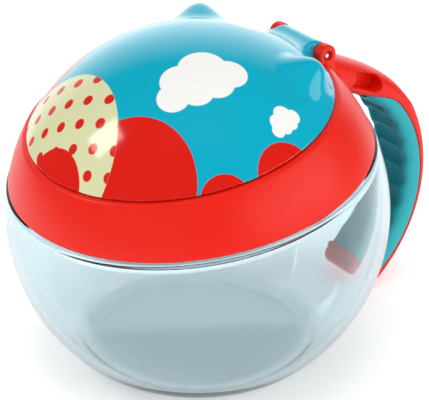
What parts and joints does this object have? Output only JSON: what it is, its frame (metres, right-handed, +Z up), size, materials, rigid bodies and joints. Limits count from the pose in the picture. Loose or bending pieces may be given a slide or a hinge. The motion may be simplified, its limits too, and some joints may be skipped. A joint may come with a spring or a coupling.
{
  "type": "toddler snack container",
  "caption": "Round clear snack bowl with a twist-off handled collar, soft slit flaps in its mouth and a hinged dome lid.",
  "frame": {"origin": "on the table, under the middle of the round bowl", "axes": "+Z up, +Y towards the handle, -Y the front, the plane X = 0 splits the object in two halves"},
  "size_m": [0.114, 0.1392, 0.1018],
  "materials": {
    "clear_plastic": "polished clear copolyester with a faint cyan tint",
    "soft_seal": "soft silicone",
    "red_plastic": "satin moulded polypropylene",
    "soft_grip": "soft matt elastomer with finger grooves",
    "pin_steel": "turned steel pin",
    "soft_flap": "soft matt elastomer",
    "white_plastic": "plain moulded polypropylene",
    "lid_plastic": "high-gloss moulded plastic with a flat printed pattern"
  },
  "bodies": {
    "bowl": {"bowl": "clear_plastic"},
    "seal": {"neck_seal": "soft_seal"},
    "collar": {"collar": "red_plastic", "handle_grip": "soft_grip", "hinge_pin": "pin_steel", "flap_ring": "soft_flap", "flap_retainer": "white_plastic"},
    "lid": {"lid_dome": "lid_plastic", "lid_seal": "soft_seal"},
    "flap_1": {"flap_1": "soft_flap"},
    "flap_2": {"flap_2": "soft_flap"},
    "flap_3": {"flap_3": "soft_flap"},
    "flap_4": {"flap_4": "soft_flap"},
    "flap_5": {"flap_5": "soft_flap"},
    "flap_6": {"flap_6": "soft_flap"}
  },
  "joints": [
    {"name": "collar_lift", "type": "slide", "parent": "bowl", "child": "seal", "axis": [0, -0.1495, 0.9888], "range_m": [0, 0.006]},
    {"name": "collar_twist", "type": "hinge", "parent": "seal", "child": "collar", "pos_m": [0, 0, 0.046], "axis": [0, -0.1495, 0.9888], "range_deg": [0, 60]},
    {"name": "lid_hinge", "type": "hinge", "parent": "collar", "child": "lid", "pos_m": [0, 0.039, 0.08833], "axis": [-1, 0, 0], "range_deg": [0, 110]},
    {"name": "flap_bend_1", "type": "hinge", "parent": "collar", "child": "flap_1", "pos_m": [0.0284, -0.00393, 0.072], "axis": [0, -0.9888, -0.1495], "range_deg": [-25, 60], "stiffness_Nm_per_rad": 0.004},
    {"name": "flap_bend_2", "type": "hinge", "parent": "collar", "child": "flap_2", "pos_m": [0.0142, 0.02039, 0.07568], "axis": [0.866, -0.4944, -0.0748], "range_deg": [-25, 60], "stiffness_Nm_per_rad": 0.004},
    {"name": "flap_bend_3", "type": "hinge", "parent": "collar", "child": "flap_3", "pos_m": [-0.0142, 0.02039, 0.07568], "axis": [0.866, 0.4944, 0.0748], "range_deg": [-25, 60], "stiffness_Nm_per_rad": 0.004},
    {"name": "flap_bend_4", "type": "hinge", "parent": "collar", "child": "flap_4", "pos_m": [-0.0284, -0.00393, 0.072], "axis": [0, 0.9888, 0.1495], "range_deg": [-25, 60], "stiffness_Nm_per_rad": 0.004},
    {"name": "flap_bend_5", "type": "hinge", "parent": "collar", "child": "flap_5", "pos_m": [-0.0142, -0.02825, 0.06832], "axis": [-0.866, 0.4944, 0.0748], "range_deg": [-25, 60], "stiffness_Nm_per_rad": 0.004},
    {"name": "flap_bend_6", "type": "hinge", "parent": "collar", "child": "flap_6", "pos_m": [0.0142, -0.02825, 0.06832], "axis": [-0.866, -0.4944, -0.0748], "range_deg": [-25, 60], "stiffness_Nm_per_rad": 0.004}
  ],
  "couplings": [
    {"joint": "collar_lift", "follows": "collar_twist", "m_per_rad": 0.0057296}
  ]
}
